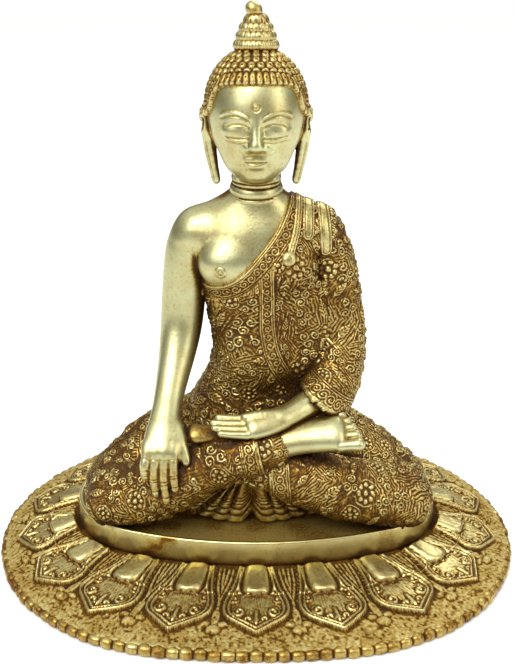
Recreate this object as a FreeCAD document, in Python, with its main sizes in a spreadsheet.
"""Brass statue of the Buddha seated in the earth-touching pose on an oval lotus pedestal.

Millimetres, +Z up, the figure faces -Y, and the origin is under the middle of the pedestal.
The pedestal is a hollow lotus casting with a beaded edge and an oval tray screwed to it.
The figure is a hollow casting in several pieces, pinned together, that stands loose in the
tray on two pegs and lifts off.
"""

import FreeCAD
import Part

import math
import os

import Sketcher

App = FreeCAD
doc = App.newDocument("seated_buddha")

# ---------------------------------------------------------------- driving dimensions

DIMENSIONS = {
    # lotus casting: an oval, its end arcs of end_radius, under a sloping field of petals
    "plate_half_width": 112.5,
    "plate_half_depth": 89.5,
    "plate_end_radius": 87.5,
    "plate_wall": 3.0,
    "edge_height": 4.6,
    "collar_top": 12.3,
    "opening_half_width": 50.0,
    "opening_half_depth": 27.0,
    "opening_end_radius": 22.0,
    # beads along the edge
    "bead_radius": 2.5,
    "bead_count": 124.0,
    # petals standing out of the sloping field
    "petal_count": 18.0,
    "petal_rise": 1.6,
    # oval tray
    "tray_half_width": 80.0,
    "tray_half_depth": 46.0,
    "tray_end_radius": 38.4,
    "tray_wall": 2.5,
    "tray_top": 23.2,
    "seat_top": 20.0,
    "floor_thickness": 2.6,
    "tray_screw_across": 120.0,
    "tray_screw_along": 44.0,
    "boss_radius": 4.0,
    "peg_radius": 2.5,
    "peg_top": 27.0,
    "peg_spacing": 50.0,
    "peg_play": 0.4,
    # screws, one size throughout
    "screw_radius": 1.5,
    "head_radius": 3.0,
    "head_height": 1.8,
    "screw_reach": 8.0,
    # figure
    "shell": 4.0,
    "knee_half_width": 75.0,
    "leg_half_depth": 39.0,
    "leg_half_height": 33.0,
    "leg_middle": 30.0,
    "tie_seat": 52.0,
    "tie_reach": 15.0,
    "sole_thickness": 2.0,
    "shoulder_half_width": 34.0,
    "chest_half_depth": 18.0,
    "skull_half_width": 20.5,
    "skull_half_depth": 23.5,
    "hair_top": 224.0,
    "finial_top": 232.0,
    "dowel_radius": 2.4,
    "dowel_height": 136.0,
}

sheet = doc.addObject("Spreadsheet::Sheet", "dims")
for row, (alias, value) in enumerate(DIMENSIONS.items(), start=1):
    sheet.set(f"A{row}", alias)
    sheet.set(f"B{row}", str(value))
    sheet.setAlias(f"B{row}", alias)
doc.recompute()


OVAL_DIMENSIONS = ("half_width", "half_depth", "end_radius")


def dim(alias):
    """The sheet's value for one driving dimension."""
    return float(sheet.get(alias))


# ---------------------------------------------------------------- helpers

UP = App.Vector(0, 0, 1)
ALONG_X = App.Rotation(App.Vector(0, 1, 0), 90)  # turns an upright thing to point along +X
FACING_X = App.Rotation(App.Vector(0, 1, 0), UP, App.Vector(1, 0, 0), "ZXY")  # ring in the YZ plane
FACING_Y = App.Rotation(App.Vector(1, 0, 0), 90)  # ring in the XZ plane


def mm(value):
    """A length expression from a number of millimetres or an expression of the sheet's cells."""
    return f"({value}) * 1 mm"


def bind(thing, **lengths):
    """Ties length properties of an object to expressions of the sheet's cells."""
    for name, value in lengths.items():
        thing.setExpression(name.replace("__", "."), mm(value))
    return thing


def oval_sketch(body, name, outline, growth, height):
    """The plate's, tray's or opening's four-centred oval, grown on every side, at a height."""
    plane = next(o for o in body.Origin.OriginFeatures if o.Role == "XY_Plane")
    sketch = body.newObject("Sketcher::SketchObject", name)
    sketch.AttachmentSupport = [(plane, "")]
    sketch.MapMode = "FlatFace"
    bind(sketch, AttachmentOffset__Base__z=height)

    a, b, r = (dim(f"{outline}_{name}") for name in OVAL_DIMENSIONS)
    side = side_radius(a, b, r)
    end_x, side_y = a - r, side - b
    turn = math.atan2(side_y, end_x)  # direction from a side centre through an end centre
    arcs = [
        (App.Vector(end_x, 0, 0), r, -turn, turn),
        (App.Vector(0, -side_y, 0), side, turn, math.pi - turn),
        (App.Vector(-end_x, 0, 0), r, math.pi - turn, math.pi + turn),
        (App.Vector(0, side_y, 0), side, math.pi + turn, 2 * math.pi - turn),
    ]
    for centre, radius, start, end in arcs:
        sketch.addGeometry(Part.ArcOfCircle(Part.Circle(centre, UP, radius), start, end), False)
    for arc in range(4):
        sketch.addConstraint(Sketcher.Constraint("Coincident", arc, 2, (arc + 1) % 4, 1))
    for arc, axis in ((0, -1), (1, -2), (2, -1)):  # each arc's two ends mirror each other
        sketch.addConstraint(Sketcher.Constraint("Symmetric", arc, 1, arc, 2, axis))
    sketch.addConstraint(Sketcher.Constraint("Equal", 0, 2))
    sketch.addConstraint(Sketcher.Constraint("Equal", 1, 3))

    w, d, e = (f"(dims.{outline}_{name} + ({growth}))" for name in OVAL_DIMENSIONS)
    long_arc = f"((({w} - {e}) * ({w} - {e}) + {d} * {d} - {e} * {e}) / (2 * ({d} - {e})))"
    joint_x, joint_y = end_x * side / (side - r), r * side_y / (side - r)
    for constraint, value in (
        (Sketcher.Constraint("Radius", 0, r), e),
        (Sketcher.Constraint("Radius", 1, side), long_arc),
        (
            Sketcher.Constraint("DistanceX", -1, 1, 0, 2, joint_x),
            f"({w} - {e}) * {long_arc} / ({long_arc} - {e})",
        ),
        (
            Sketcher.Constraint("DistanceY", -1, 1, 0, 2, joint_y),
            f"{e} * ({long_arc} - {d}) / ({long_arc} - {e})",
        ),
    ):
        index = sketch.addConstraint(constraint)
        sketch.setExpression(f"Constraints[{index}]", value)
    return sketch


def side_radius(a, b, r):
    """Radius of the long side arcs of an oval of half-axes a and b with end arcs of radius r."""
    return ((a - r) ** 2 + b**2 - r**2) / (2 * (b - r))


def loft(body, name, sketches, cut=False, ruled=True):
    kind = "SubtractiveLoft" if cut else "AdditiveLoft"
    feature = body.newObject(f"PartDesign::{kind}", name)
    feature.Profile = sketches[0]
    feature.Sections = sketches[1:]
    feature.Ruled = ruled
    return feature


def pad(body, name, sketch, length, cut=False):
    """Pads or pockets a sketch upward by a length."""
    feature = body.newObject("PartDesign::Pocket" if cut else "PartDesign::Pad", name)
    feature.Profile = sketch
    feature.Reversed = cut  # a pocket points down unless it is reversed
    return bind(feature, Length=length)


def cylinder(name, radius, low, high, place):
    """An upright cylinder at (x, y) between two heights, all of them lengths or expressions."""
    made = doc.addObject("Part::Cylinder", name)
    return bind(
        made,
        Radius=radius,
        Height=f"({high}) - ({low})",
        Placement__Base__x=place[0],
        Placement__Base__y=place[1],
        Placement__Base__z=low,
    )


def cylinders(name, radius, low, high, places):
    return [cylinder(f"{name}_{i}", radius, low, high, place) for i, place in enumerate(places)]


def screws(name, seat, reach, places):
    """Pan-head screws, head down: the underside of the head bears at seat, the shank goes up."""
    made = []
    for index, place in enumerate(places):
        head = cylinder(f"{name}_head_{index}", "dims.head_radius", f"{seat} - dims.head_height", seat, place)
        shank = cylinder(f"{name}_shank_{index}", "dims.screw_radius", seat, f"{seat} + {reach}", place)
        made.append(combine("Fuse", f"{name}_{index}", head, shank))
    return labelled(group(f"{name}_group", made), name)


def ring(name, wide, deep, centre, rotation=None):
    """Part::Ellipse as one section of a loft: half-axes across and along, either the longer."""
    made = doc.addObject("Part::Ellipse", name)
    turn = rotation or App.Rotation()
    if wide < deep:
        turn = turn * App.Rotation(UP, 90)
    made.MajorRadius, made.MinorRadius = max(wide, deep), min(wide, deep)
    made.Placement = App.Placement(App.Vector(*centre), turn)
    return made


def labelled(thing, label):
    """Names an object as a finished sub-part."""
    thing.Label = label
    return thing


def part_loft(name, sections):
    made = doc.addObject("Part::Loft", name)
    made.Sections = sections
    made.Solid = True
    made.Ruled = False
    return made


def combine(kind, name, first, *others):
    """Part::Cut, Part::Common or Part::Fuse of objects, one pair at a time."""
    result = first
    for index, other in enumerate(others):
        made = doc.addObject(f"Part::{kind}", f"{name}_{index}")
        made.Base, made.Tool = result, other
        result = made
    return result


def group(name, members):
    """Separate identical solids kept as one sub-part."""
    made = doc.addObject("Part::Compound", name)
    made.Links = members
    return made


# ---------------------------------------------------------------- pedestal: lotus casting


COLLAR_MARGIN = 1.5  # how far the collar stands out past the tray
PETAL_LENGTH = 0.36  # half-length of a petal's tongue as a share of the field's slope
PETAL_WIDTH = 0.36  # its half-width as a share of the spacing
PETAL_MIDDLE = 0.50  # its middle as a share of the slope, from the collar


def make_lotus_base():
    """Hollow casting: an upright rim, a sloping field of petals and a flat collar."""
    body = doc.addObject("PartDesign::Body", "lotus_body")
    rim = oval_sketch(body, "rim_outline", "plate", 0, 0)
    pad(body, "rim_wall", rim, "dims.edge_height")
    low = oval_sketch(body, "field_edge", "plate", 0, "dims.edge_height")
    high = oval_sketch(body, "field_collar", "tray", COLLAR_MARGIN, "dims.collar_top")
    loft(body, "petal_field", [low, high])
    doc.recompute()

    inside = "-dims.plate_wall"
    eave = "dims.edge_height - dims.plate_wall * 0.8"
    hollow = oval_sketch(body, "hollow_outline", "plate", inside, 0)
    pad(body, "hollow_rim", hollow, eave, cut=True)
    hollow_low = oval_sketch(body, "hollow_edge", "plate", inside, eave)
    hollow_high = oval_sketch(
        body,
        "hollow_collar",
        "tray",
        f"{COLLAR_MARGIN} - 2 * dims.plate_wall",
        "dims.collar_top - dims.plate_wall",
    )
    loft(body, "hollow_field", [hollow_low, hollow_high], cut=True)
    opening = oval_sketch(body, "opening_outline", "opening", 0, 0)
    pad(body, "opening", opening, "dims.collar_top + 1", cut=True)
    doc.recompute()
    drilled = combine("Cut", "lotus_drilled", add_petals(body), *tray_screw_holes("lotus_hole"))
    return labelled(drilled, "lotus_base")


def add_petals(field):
    """Fuses a ring of raised petal tongues on the sloping field of the casting."""
    halves = 2 * int(dim("petal_count"))  # petals are centred on the odd half steps round the oval
    edge = [spot + UP * dim("edge_height") for spot, _ in oval_points("plate", 0.0, halves)]
    collar = [spot + UP * dim("collar_top") for spot, _ in oval_points("tray", COLLAR_MARGIN, halves)]
    tongues = []
    for index in range(1, halves, 2):
        outer, inner = edge[index], collar[index]
        before, after = index - 1, (index + 1) % halves
        spacing = ((edge[after] - edge[before]).Length + (collar[after] - collar[before]).Length) / 2
        down_slope = outer - inner
        tongue = doc.addObject("Part::Ellipsoid", f"petal_{index}")
        tongue.Radius1 = dim("petal_rise")
        tongue.Radius2 = down_slope.Length * PETAL_LENGTH
        tongue.Radius3 = spacing * PETAL_WIDTH
        across = UP.cross(down_slope).normalize()
        turn = App.Rotation(down_slope, across, down_slope.cross(across), "XYZ")
        tongue.Placement = App.Placement(inner + down_slope * PETAL_MIDDLE, turn)
        tongues.append(tongue)
    petals = doc.addObject("Part::MultiFuse", "field_with_petals")
    petals.Shapes = [field, *tongues]
    return petals


def tray_screw_places():
    return [
        (f"{sx} * dims.tray_screw_across / 2", f"{sy} * dims.tray_screw_along / 2")
        for sx in (-1, 1)
        for sy in (-1, 1)
    ]


SCREW_SEAT = "dims.collar_top - dims.plate_wall"


def tray_screw_holes(name):
    """Holes of the tray screws, from under the lotus casting up into the tray's bosses."""
    top = f"{SCREW_SEAT} + dims.screw_reach"
    return cylinders(name, "dims.screw_radius", SCREW_SEAT, top, tray_screw_places())


# ---------------------------------------------------------------- pedestal: beads


def oval_points(outline, growth, count):
    """Points and outward directions spaced evenly round the plate's or tray's oval, from +X."""
    a, b, r = (dim(f"{outline}_{name}") + growth for name in OVAL_DIMENSIONS)
    side = side_radius(a, b, r)
    end_x, side_y = a - r, side - b
    turn = math.atan2(side_y, end_x)
    arcs = [
        (end_x, 0.0, r, 0.0, turn),
        (0.0, -side_y, side, turn, math.pi - turn),
        (-end_x, 0.0, r, math.pi - turn, math.pi + turn),
        (0.0, side_y, side, math.pi + turn, 2 * math.pi - turn),
        (end_x, 0.0, r, -turn, 0.0),
    ]
    lengths = [radius * (end - start) for _, _, radius, start, end in arcs]
    places = []
    for index in range(count):
        left = index * sum(lengths) / count
        for (cx, cy, radius, start, _), length in zip(arcs, lengths):
            if left <= length:
                angle = start + left / radius
                out = App.Vector(math.cos(angle), math.sin(angle), 0)
                places.append((App.Vector(cx, cy, 0) + out * radius, out))
                break
            left -= length
    return places


def make_beaded_rim(lotus_base):
    """Beads standing side by side round the edge, each seated on the casting's rim."""
    beads = []
    for index, (spot, out) in enumerate(oval_points("plate", 0.0, int(dim("bead_count")))):
        bead = doc.addObject("Part::Sphere", f"bead_{index}")
        bead.Placement = App.Placement(spot, App.Rotation(UP, out))
        bind(bead, Radius="dims.bead_radius", Placement__Base__z="dims.bead_radius")
        beads.append(bead)
    return labelled(combine("Cut", "beads_on_rim", group("beads", beads), lotus_base), "beaded_rim")


# ---------------------------------------------------------------- pedestal: tray


def make_seat_tray():
    """Oval tray: a recess for the figure above, a hollow with four screw bosses below."""
    body = doc.addObject("PartDesign::Body", "tray_body")
    under_floor = "dims.seat_top - dims.floor_thickness"
    wall = oval_sketch(body, "tray_outline", "tray", 0, "dims.collar_top")
    pad(body, "tray_block", wall, "dims.tray_top - dims.collar_top")
    doc.recompute()
    recess = oval_sketch(body, "recess_outline", "tray", "-dims.tray_wall", "dims.seat_top")
    pad(body, "recess", recess, "dims.tray_top - dims.seat_top + 1", cut=True)
    under = oval_sketch(body, "under_outline", "tray", "-dims.tray_wall", "dims.collar_top")
    pad(body, "under_hollow", under, f"{under_floor} - dims.collar_top", cut=True)
    doc.recompute()
    into_floor = "dims.seat_top - dims.floor_thickness / 2"
    bosses = cylinders("tray_boss", "dims.boss_radius", "dims.collar_top", into_floor, tray_screw_places())
    peg_holes = cylinders("tray_peg_hole", "dims.peg_radius", under_floor, "dims.seat_top", PEG_PLACES)
    solid = combine("Fuse", "tray_with_bosses", body, *bosses)
    drilled = combine("Cut", "tray_drilled", solid, *tray_screw_holes("tray_hole"), *peg_holes)
    return labelled(drilled, "seat_tray")


PEG_PLACES = [("-dims.peg_spacing / 2", 0), ("dims.peg_spacing / 2", 0)]


def make_pegs():
    """Two pegs pressed into the tray's floor, which keep the loose figure in place."""
    low = "dims.seat_top - dims.floor_thickness"
    return labelled(
        group("pegs", cylinders("peg", "dims.peg_radius", low, "dims.peg_top", PEG_PLACES)),
        "locating_pegs",
    )


# ---------------------------------------------------------------- figure: legs

# share of knee_half_width, share of half depth, share of half height, y, rise of the middle
LEG_SECTIONS = [
    (1.00, 0.12, 0.12, -7.0, 1.0),
    (0.96, 0.40, 0.37, -7.0, 1.0),
    (0.82, 0.68, 0.73, -3.0, 0.0),
    (0.55, 0.92, 1.00, -2.0, 0.0),
    (0.25, 0.90, 0.91, -0.5, 0.0),
]


def leg_loft(name, inset):
    """The crossed legs as one loft from knee to knee; inset shrinks it for the hollow."""
    sides = [(-s[0], *s[1:]) for s in LEG_SECTIONS] + [(s[0], *s[1:]) for s in LEG_SECTIONS[::-1]]
    reach = dim("knee_half_width") - inset
    sections = [
        ring(
            f"{name}_{index}",
            max(dim("leg_half_depth") * depth - inset, 2.4),
            max(dim("leg_half_height") * height - inset, 1.8),
            (along * reach, y, dim("leg_middle") + rise),
            FACING_X,
        )
        for index, (along, depth, height, y, rise) in enumerate(sides)
    ]
    return part_loft(name, sections)


def slab(name, low, thickness):
    """A wide layer of a thickness on a height."""
    made = doc.addObject("Part::Box", name)
    made.Length = made.Width = 2 * SLAB_REACH
    made.Placement.Base = App.Vector(-SLAB_REACH, -SLAB_REACH, 0)
    return bind(made, Height=thickness, Placement__Base__z=low)


def behind(name, y):
    """Everything behind a y."""
    made = doc.addObject("Part::Box", name)
    made.Length = made.Width = made.Height = 2 * SLAB_REACH
    made.Placement.Base = App.Vector(-SLAB_REACH, y, -SLAB_REACH)
    return made


def arch():
    """The opening under the crossed shins, in which the hem spreads."""
    seat = dim("seat_top")
    return part_loft(
        "shin_arch",
        [
            ring("arch_mouth", ARCH_HALF_WIDTH, ARCH_RISE, (0, -SHIN_REACH, seat), FACING_Y),
            ring("arch_end", 0.84 * ARCH_HALF_WIDTH, ARCH_RISE, (0, ARCH_BACK, seat), FACING_Y),
        ],
    )


SLAB_REACH = 150.0
SHIN_REACH = 50.0  # a distance in front of the shins
ARCH_HALF_WIDTH, ARCH_RISE = 31.0, 20.0
ARCH_BACK = -24.0  # y of the wall at the arch's end
HOLLOW_FRONT = -20.0  # y of the front of the legs' hollow
SOLE_SCREWS = [(-42.0, 8.0), (42.0, 8.0), (-14.0, -13.0), (14.0, -13.0)]
TIE_BOLTS = [(-13.0, 8.0), (13.0, 8.0)]
SOLE_TOP = "dims.seat_top + dims.sole_thickness"
SOLE_SEAT = "dims.seat_top + 1.2"  # where the sunk heads of the sole's screws bear
SOLE_SCREW_TIP = f"{SOLE_TOP} + 10"
SOLE_BOSS_RADIUS = 3.6
TIE_PAD_RADIUS = 5.0
TIE_PAD_RISE = 6.0  # thickness of the wall's pads that the tie bolts pass
ABOVE_LEGS = 80.0  # a height over the top of the legs


def make_foot():
    """The bare right foot lying sole up across the left thigh, from heel to toes."""
    stations = [
        (4, -31, 58, 5.0, 3.4),
        (14, -30, 60, 7.2, 4.6),
        (31, -28, 60, 9.0, 4.4),
        (43, -26, 57, 8.0, 2.6),
    ]
    return part_loft(
        "foot",
        [
            ring(f"foot_{index}", wide, thick, (x, y, z), FACING_X)
            for index, (x, y, z, wide, thick) in enumerate(stations)
        ],
    )


def make_legs():
    """Crossed legs as a hollow casting open below, with bosses for its screws."""
    outer = leg_loft("leg_outer", 0.0)
    inner = leg_loft("leg_inner", dim("shell"))
    hollow = combine("Common", "leg_hollow", inner, behind("legs_back", HOLLOW_FRONT))
    above = combine("Common", "leg_above", outer, slab("above_seat", "dims.seat_top", ABOVE_LEGS))
    stand = combine("Cut", "leg_stand", above, arch())
    shell = combine("Cut", "leg_shell", combine("Fuse", "leg_and_foot", stand, make_foot()), hollow)
    pillars = cylinders("sole_boss", SOLE_BOSS_RADIUS, SOLE_TOP, ABOVE_LEGS, SOLE_SCREWS)
    pads = cylinders("tie_pad", TIE_PAD_RADIUS, "dims.tie_seat", f"dims.tie_seat + {TIE_PAD_RISE}", TIE_BOLTS)
    ribs = [combine("Common", f"{bar.Name}_inside", bar, outer) for bar in pillars + pads]
    ribbed = combine("Fuse", "leg_ribbed", shell, *ribs)
    holes = cylinders("sole_screw_hole", "dims.screw_radius", SOLE_TOP, SOLE_SCREW_TIP, SOLE_SCREWS)
    holes += tie_holes("leg_tie_hole")
    return labelled(combine("Cut", "leg_drilled", ribbed, *holes), "crossed_legs"), stand, hollow


def tie_holes(name):
    return cylinders(name, "dims.screw_radius", "dims.tie_seat", "dims.tie_seat + dims.tie_reach", TIE_BOLTS)


def make_sole_plate(hollow):
    """Plate that closes the hollow legs, with loose holes for the tray's pegs."""
    layer = slab("sole_layer", "dims.seat_top", "dims.sole_thickness")
    blank = combine("Common", "sole_blank", hollow, layer)
    peg_holes = cylinders(
        "sole_peg_hole", "dims.peg_radius + dims.peg_play", "dims.seat_top", SOLE_TOP, PEG_PLACES
    )
    screw_holes = cylinders("sole_hole", "dims.screw_radius", "dims.seat_top", SOLE_TOP, SOLE_SCREWS)
    sinks = cylinders("sole_sink", "dims.head_radius", "dims.seat_top", SOLE_SEAT, SOLE_SCREWS)
    return labelled(
        combine("Cut", "sole_drilled", blank, *peg_holes, *screw_holes, *sinks), "sole_plate"
    )


def make_sole_screws():
    """Flat screws whose heads sink into the sole plate."""
    made = []
    for index, place in enumerate(SOLE_SCREWS):
        head = cylinder(f"sole_head_{index}", "dims.head_radius", "dims.seat_top + 0.1", SOLE_SEAT, place)
        shank = cylinder(f"sole_shank_{index}", "dims.screw_radius", SOLE_SEAT, SOLE_SCREW_TIP, place)
        made.append(combine("Fuse", f"sole_screw_{index}", head, shank))
    return labelled(group("sole_screw_group", made), "sole_plate_screws")


HEM_TOP = 39.0  # where the folds of the hem gather under the shins
HEM_SPREAD = 31.0  # half width of the hem on the tray
HEM_FRONT = -35.0  # y of its front on the tray
HEM_GROOVES = 8
HEM_GROOVE_RADIUS = 1.2


def make_hem_fan(stand):
    """The folds of robe that spread as a fan on the tray under the shins."""
    seat = dim("seat_top")
    skirt = part_loft(
        "hem_skirt",
        [
            ring("hem_on_tray", HEM_SPREAD, 8, (0, HEM_FRONT + 8, seat)),
            ring("hem_gather", 10, 4, (0, HEM_FRONT + 8, HEM_TOP)),
        ],
    )
    top = App.Vector(0, HEM_FRONT + 4, HEM_TOP)
    grooves = []
    for index in range(HEM_GROOVES):
        share = (2 * index + 1) / HEM_GROOVES - 1
        foot = App.Vector(HEM_SPREAD * share, HEM_FRONT + 7 * share**2, seat)
        groove = doc.addObject("Part::Cylinder", f"hem_groove_{index}")
        groove.Radius, groove.Height = HEM_GROOVE_RADIUS, (foot - top).Length + 4
        groove.Placement = App.Placement(top, App.Rotation(UP, foot - top))
        grooves.append(groove)
    folded = combine("Cut", "hem_behind_legs", skirt, stand)
    return labelled(combine("Cut", "hem_grooved", folded, *grooves), "robe_hem_fan")


# ---------------------------------------------------------------- figure: torso

# height, share of shoulder half width, share of chest half depth, y of the middle
TORSO_SECTIONS = [
    (44.0, 1.00, 1.45, 4.0),
    (60.0, 0.90, 1.28, 6.0),
    (78.0, 0.70, 1.00, 8.0),
    (96.0, 0.64, 0.94, 8.0),
    (114.0, 0.76, 1.00, 7.0),
    (130.0, 0.95, 1.00, 6.0),
    (141.0, 0.98, 0.86, 6.0),
    (149.0, 0.72, 0.74, 5.0),
    (156.0, 0.42, 0.70, 3.0),
]
WEB_TOP = 74.0  # the torso is solid below this and above SHOULDER_WEB, hollow between
SHOULDER_WEB = 120.0
CORE_RADIUS, CORE_BACK = 6.0, 8.0  # core hole between the hollows of the legs and the torso


def torso_rings(name, inset, low, high):
    """The torso's sections between two heights, shrunk by an inset."""
    return [
        ring(
            f"{name}_{index}",
            dim("shoulder_half_width") * across - inset,
            dim("chest_half_depth") * deep - inset,
            (0, y, height),
        )
        for index, (height, across, deep, y) in enumerate(TORSO_SECTIONS)
        if low <= height <= high
    ]


def make_torso(stand):
    """Chest, waist and robe as one casting, cut to sit on the legs."""
    lowest, highest = TORSO_SECTIONS[0][0], TORSO_SECTIONS[-1][0]
    outer = part_loft("torso_outer", torso_rings("torso_section", 0, lowest, highest))
    inner = part_loft("torso_inner", torso_rings("torso_hollow", dim("shell"), WEB_TOP, SHOULDER_WEB))
    core = cylinder("torso_core_hole", CORE_RADIUS, lowest - 4, WEB_TOP + 6, (0, CORE_BACK))
    on_legs = combine("Cut", "torso_on_legs", outer, stand)
    return combine("Cut", "torso_hollowed", on_legs, inner, core, *tie_holes("torso_tie_hole")), outer


# ---------------------------------------------------------------- figure: arms


def limb(name, stations):
    """A loft of ellipses square to a path: stations of (x, y, z, half width, half thickness)."""
    points = [App.Vector(*s[:3]) for s in stations]
    sections = []
    for index, (_, _, _, wide, thick) in enumerate(stations):
        before, after = points[max(index - 1, 0)], points[min(index + 1, len(points) - 1)]
        along = (after - before).normalize()
        across = App.Vector(1, 0, 0)
        if abs(along.dot(across)) > 0.8:  # the limb itself runs along X here
            across = App.Vector(0, 1, 0)
        across = (across - along * across.dot(along)).normalize()
        turn = App.Rotation(across, along.cross(across), along, "ZXY")
        sections.append(ring(f"{name}_{index}", wide, thick, tuple(points[index]), turn))
    return part_loft(name, sections)


RIGHT_ARM = [
    (-31.5, 4, 146.5, 3.4, 3.4),
    (-31.0, 4, 143.0, 8.4, 8.6),
    (-31.5, 4, 134.0, 9.6, 9.6),
    (-32.2, 4, 118.0, 8.9, 9.0),
    (-32.8, 2, 100.0, 8.2, 8.6),
    (-34.0, -5, 88.0, 7.2, 7.6),
    (-36.0, -16, 77.0, 6.0, 5.4),
    (-37.4, -26, 68.0, 5.6, 4.2),
    (-38.0, -36, 60.0, 8.0, 4.2),
    (-37.6, -44, 50.0, 7.6, 3.4),
    (-36.6, -47, 40.0, 5.0, 2.2),
]

LEFT_ARM = [
    (32.0, 4, 147.0, 3.4, 3.4),
    (33.0, 4, 143.0, 8.6, 9.0),
    (34.5, 4, 132.0, 10.4, 10.6),
    (36.5, 4, 112.0, 9.8, 10.4),
    (37.5, 2, 94.0, 9.8, 10.4),
    (36.0, -6, 82.0, 9.4, 10.0),
    (30.0, -17, 76.5, 7.0, 7.6),
    (18.0, -27, 74.0, 5.4, 4.8),
    (4.0, -33, 72.0, 7.0, 4.0),
    (-8.0, -35, 71.0, 7.4, 3.4),
    (-19.0, -36, 70.0, 5.0, 2.0),
]

DOWEL_ENDS = (23.0, 35.5)  # distance of a shoulder dowel's two ends from the middle


def shoulder_dowel(name, side):
    """A pin lying along X between the torso and one arm."""
    near, far = DOWEL_ENDS
    made = doc.addObject("Part::Cylinder", name)
    made.Placement = App.Placement(App.Vector(near if side > 0 else -far, 5, 0), ALONG_X)
    return bind(made, Radius="dims.dowel_radius", Height=far - near, Placement__Base__z="dims.dowel_height")


def make_arm(name, stations, side, others):
    """An arm with its hand, cut to fit the body, and the dowel that holds it."""
    dowel = shoulder_dowel(f"{name}_dowel_pin", side)
    arm = combine("Cut", name, limb(f"{name}_blank", stations), dowel, *others)
    return labelled(arm, name), labelled(dowel, f"{name}_dowel")


# ---------------------------------------------------------------- figure: head

# height, share of skull half width, share of skull half depth, y of the middle
HEAD_SECTIONS = [
    (156.0, 0.70, 0.53, 2.0),
    (159.0, 0.58, 0.46, 2.0),
    (165.0, 0.49, 0.42, 1.0),
    (169.0, 0.50, 0.50, -1.5),
    (173.0, 0.60, 0.72, -3.0),
    (180.0, 0.76, 0.84, -2.0),
    (190.0, 0.96, 1.00, 1.0),
    (200.0, 1.00, 1.00, 2.0),
    (208.0, 0.80, 0.80, 3.0),
    (213.0, 0.50, 0.46, 3.0),
    (219.0, 0.38, 0.33, 3.0),
    (224.0, 0.17, 0.15, 3.0),
]
EAR_PLACES = [("right_ear", -18.2), ("left_ear", 18.2)]
EAR_RADII = (14.5, 2.4, 4.6)  # half height, half thickness, half depth
EAR_MIDDLE = (2.0, 177.0)  # y and height of its middle
NECK_PIN = (145.0, 167.0)  # heights of the two ends of the neck's dowel
FINIAL_STUD = (1.3, 7.0)  # radius and length of the stud under the finial
FINIAL_RADII = (2.5, 3.4, 2.2)  # at its waist, bulge and shoulder


def make_head():
    """Head with its hair, raised crown and long ears, bored for the neck dowel and the finial."""
    skull = part_loft(
        "skull",
        [
            ring(
                f"head_section_{index}",
                dim("skull_half_width") * across,
                dim("skull_half_depth") * deep,
                (0, y, height),
            )
            for index, (height, across, deep, y) in enumerate(HEAD_SECTIONS)
        ],
    )
    ears = []
    for name, x in EAR_PLACES:
        ear = doc.addObject("Part::Ellipsoid", name)
        ear.Radius1, ear.Radius2, ear.Radius3 = EAR_RADII
        ear.Placement.Base = App.Vector(x, *EAR_MIDDLE)
        ears.append(ear)
    bore = cylinder("neck_bore", "dims.dowel_radius", HEAD_SECTIONS[0][0], NECK_PIN[1], (0, 2))
    stud_radius, stud_length = FINIAL_STUD
    socket = cylinder(
        "finial_socket", stud_radius, f"dims.hair_top - {stud_length}", "dims.hair_top + 1", (0, 3)
    )
    whole = combine("Fuse", "head_with_ears", skull, *ears)
    return labelled(combine("Cut", "head_bored", whole, bore, socket), "head")


def make_neck_dowel():
    return labelled(cylinder("neck_pin", "dims.dowel_radius", *NECK_PIN, (0, 2)), "neck_dowel")


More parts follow.
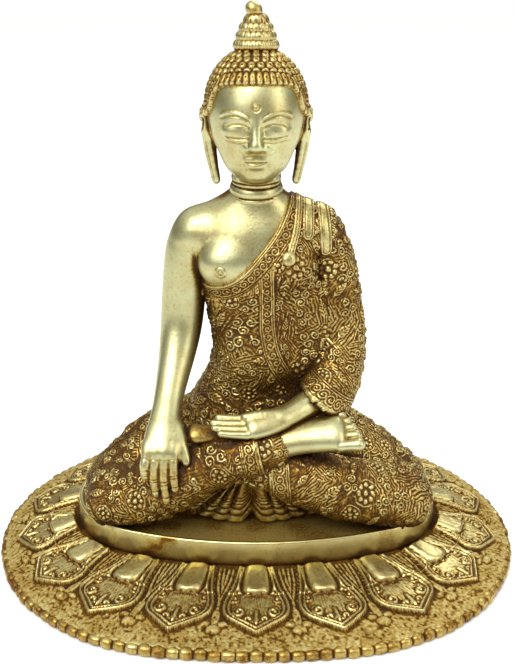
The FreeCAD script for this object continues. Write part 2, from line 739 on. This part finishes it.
def make_finial():
    """Pointed jewel on the crown, turned with its own stud."""
    body = doc.addObject("PartDesign::Body", "finial_body")
    plane = next(o for o in body.Origin.OriginFeatures if o.Role == "XZ_Plane")
    sketch = body.newObject("Sketcher::SketchObject", "finial_profile")
    sketch.AttachmentSupport = [(plane, "")]
    sketch.MapMode = "FlatFace"
    base, top = dim("hair_top"), dim("finial_top")
    stud_radius, stud_length = FINIAL_STUD
    foot = App.Vector(0, base - stud_length, 0)
    stud = App.Vector(stud_radius, base - stud_length, 0)
    collar = App.Vector(stud_radius, base, 0)
    waist = App.Vector(FINIAL_RADII[0], base, 0)
    bulge = App.Vector(FINIAL_RADII[1], base + 3.0, 0)
    shoulder = App.Vector(FINIAL_RADII[2], base + 6.2, 0)
    tip = App.Vector(0, top, 0)
    for start, end in ((foot, stud), (stud, collar), (collar, waist), (shoulder, tip), (tip, foot)):
        sketch.addGeometry(Part.LineSegment(start, end), False)
    sketch.addGeometry(Part.Arc(waist, bulge, shoulder), False)
    turned = body.newObject("PartDesign::Revolution", "finial_turned")
    turned.Profile = sketch
    turned.ReferenceAxis = (sketch, ["V_Axis"])
    turned.Angle = 360
    doc.recompute()
    body.Placement.Base = App.Vector(0, 3, 0)
    return labelled(body, "finial")


# ---------------------------------------------------------------- build and write

lotus_base = make_lotus_base()
crossed_legs, leg_stand, leg_hollow = make_legs()
torso_raw, torso_outer = make_torso(leg_stand)
right_arm, right_dowel = make_arm("right_arm", RIGHT_ARM, -1, [torso_outer, leg_stand])
left_arm, left_dowel = make_arm("left_arm", LEFT_ARM, 1, [torso_outer, leg_stand])
neck_dowel = make_neck_dowel()
torso = combine("Cut", "torso", torso_raw, right_dowel, left_dowel, neck_dowel)

SUBPARTS = [
    lotus_base,
    make_beaded_rim(lotus_base),
    make_seat_tray(),
    make_pegs(),
    screws("tray_screws", SCREW_SEAT, "dims.screw_reach", tray_screw_places()),
    crossed_legs,
    make_sole_plate(leg_hollow),
    make_sole_screws(),
    screws("tie_bolts", "dims.tie_seat", "dims.tie_reach", TIE_BOLTS),
    make_hem_fan(leg_stand),
    labelled(torso, "torso"),
    right_arm,
    right_dowel,
    left_arm,
    left_dowel,
    make_head(),
    neck_dowel,
    make_finial(),
]
doc.recompute()

failed = [o.Name for o in doc.Objects if {"Invalid", "Error"} & set(o.State)]
if failed:
    raise SystemExit(f"failed objects: {failed}")
os.makedirs("parts", exist_ok=True)
for part in SUBPARTS:
    shape = part.Shape
    if shape.isNull() or not shape.isValid() or not shape.Solids:
        raise SystemExit(f"{part.Label} is not a valid solid")
    box = shape.BoundBox
    print(
        f"{part.Label:20s} solids {len(shape.Solids):3d} volume {shape.Volume:10.0f}"
        f"  x {box.XMin:7.1f} {box.XMax:7.1f}  y {box.YMin:7.1f} {box.YMax:7.1f}"
        f"  z {box.ZMin:7.1f} {box.ZMax:7.1f}"
    )
    shape.exportStep(f"parts/{part.Label}.step")
